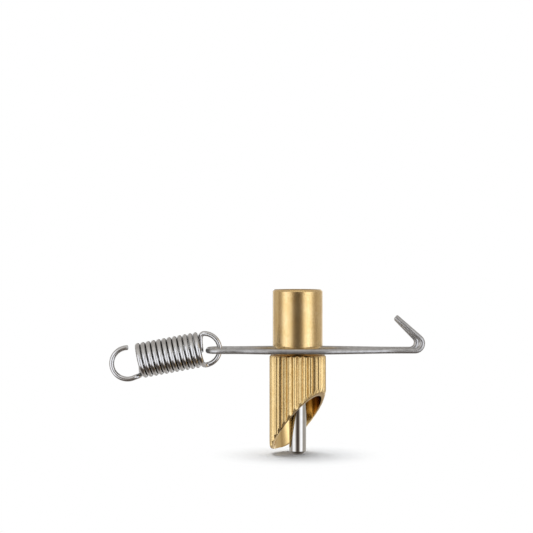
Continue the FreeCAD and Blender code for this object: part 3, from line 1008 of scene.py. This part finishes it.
def floor():
    """Pale floor that keeps the object's shadow and turns into the white background."""
    bpy.ops.mesh.primitive_circle_add(
        vertices=96, radius=FLOOR_RADIUS * MM, fill_type="NGON",
        location=(0, 0, (PIN_END - FLOOR_GAP) * MM),
    )
    disc = bpy.context.object
    disc.name = "floor"
    disc.visible_glossy = False
    material = bpy.data.materials.new("floor")
    material.use_nodes = True
    tree = material.node_tree
    shader = tree.nodes["Principled BSDF"]
    shader.inputs["Base Color"].default_value = (*FLOOR_COLOR, 1)
    shader.inputs["Roughness"].default_value = 0.9
    shader.inputs["Specular IOR Level"].default_value = 0
    glow = tree.nodes.new("ShaderNodeEmission")
    place = tree.nodes.new("ShaderNodeTexCoord")
    length = tree.nodes.new("ShaderNodeVectorMath")
    length.operation = "LENGTH"
    paths = tree.nodes.new("ShaderNodeLightPath")
    mix = tree.nodes.new("ShaderNodeMixShader")
    tree.links.new(place.outputs["Object"], length.inputs[0])
    away = step_between(
        tree, length.outputs["Value"], SHADOW_START * MM, SHADOW_END * MM, SHADOW_LIFT
    )
    seen_white = math_node(tree, "MULTIPLY", away, paths.outputs["Is Camera Ray"])
    tree.links.new(seen_white, mix.inputs["Fac"])
    tree.links.new(shader.outputs[0], mix.inputs[1])
    tree.links.new(glow.outputs[0], mix.inputs[2])
    tree.links.new(mix.outputs[0], tree.nodes["Material Output"].inputs["Surface"])
    disc.data.materials.append(material)


def world():
    """White behind the object and in its reflections, and a plain level of soft light."""
    sky = bpy.data.worlds.new("studio")
    bpy.context.scene.world = sky
    sky.use_nodes = True
    tree = sky.node_tree
    shader = tree.nodes["Background"]
    paths = tree.nodes.new("ShaderNodeLightPath")
    mirrored = math_node(
        tree, "MAXIMUM", paths.outputs["Is Glossy Ray"], paths.outputs["Is Transmission Ray"]
    )
    seen = math_node(tree, "MAXIMUM", paths.outputs["Is Camera Ray"], mirrored)
    level = tree.nodes.new("ShaderNodeMapRange")
    level.inputs["To Min"].default_value = AMBIENT
    level.inputs["To Max"].default_value = 1
    tree.links.new(seen, level.inputs["Value"])
    shader.inputs["Color"].default_value = (1, 1, 1, 1)
    tree.links.new(level.outputs["Result"], shader.inputs["Strength"])


def soft_box(name, azimuth, elevation, distance, width, height, watts):
    """Lamp aimed at the object's middle, unseen in reflections.

    Azimuth is measured from the camera's side, in degrees.
    """
    data = bpy.data.lights.new(name, "AREA")
    data.shape = "RECTANGLE"
    data.size = width * MM
    data.size_y = height * MM
    data.energy = watts
    lamp = bpy.data.objects.new(name, data)
    turn = radians(azimuth)
    rise = radians(elevation)
    away = Vector((sin(turn) * cos(rise), -cos(turn) * cos(rise), sin(rise)))
    middle = Vector((0, 0, PIN_END / 2)) * MM
    lamp.location = middle + away * distance * MM
    lamp.rotation_mode = "QUATERNION"
    lamp.rotation_quaternion = away.to_track_quat("Z", "Y")
    lamp.visible_glossy = False
    bpy.context.scene.collection.objects.link(lamp)


def studio():
    world()
    floor()
    reflection_dome()
    spring_card()
    for azimuth in (-52, 52):
        soft_box(
            "soft_box", azimuth, elevation=20, distance=400, width=260, height=360, watts=0.15
        )
    soft_box(
        "top_light", azimuth=180, elevation=82, distance=350, width=300, height=300, watts=1.45
    )


def camera():
    scene = bpy.context.scene
    rise = radians(CAMERA_ELEVATION)
    half = IMAGE_SIZE / 2
    target = Vector((
        (half - AXIS_PIXEL_X) / PIXELS_PER_MM, 0,
        (INLET_PIXEL_Y - half) / PIXELS_PER_MM / cos(rise),
    ))
    back = Vector((0, -cos(rise), sin(rise)))
    data = bpy.data.cameras.new("camera")
    data.sensor_width = SENSOR_WIDTH
    data.lens = SENSOR_WIDTH * CAMERA_DISTANCE * PIXELS_PER_MM / IMAGE_SIZE
    data.clip_start = 0.01
    data.clip_end = 10
    eye = bpy.data.objects.new("camera", data)
    eye.location = (target + back * CAMERA_DISTANCE) * MM
    eye.rotation_mode = "QUATERNION"
    eye.rotation_quaternion = (-back).to_track_quat("-Z", "Y")
    scene.collection.objects.link(eye)
    scene.camera = eye
    scene.view_settings.view_transform = "Standard"


def main():
    nipple_body([turned_brass(), fluted_brass(), bored_brass()])
    drinking_pin(polished_pin())
    seat_seal(rubber())
    inlet_bush(plastic())
    return_spring(steel(
        "valve_spring_steel", dark=(0.5, 0.5, 0.5), light=(0.62, 0.62, 0.62),
        roughness=(0.2, 0.3), grain_mm=0.002,
    ))
    hanger(steel(
        "hanger_steel", dark=(0.44, 0.44, 0.435), light=(0.62, 0.62, 0.61),
        roughness=(0.3, 0.46), grain_mm=0.006, streak_mm=0.008,
    ))
    # The tension spring's steel carries painted shade between its turns
    tension_spring(steel(
        "spring_steel", dark=(0.6, 0.6, 0.59), light=(0.72, 0.72, 0.71),
        roughness=(0.12, 0.22), grain_mm=0.002, painted_shade=(0.22, 0.21, 0.2),
    ))
    studio()
    camera()


main()
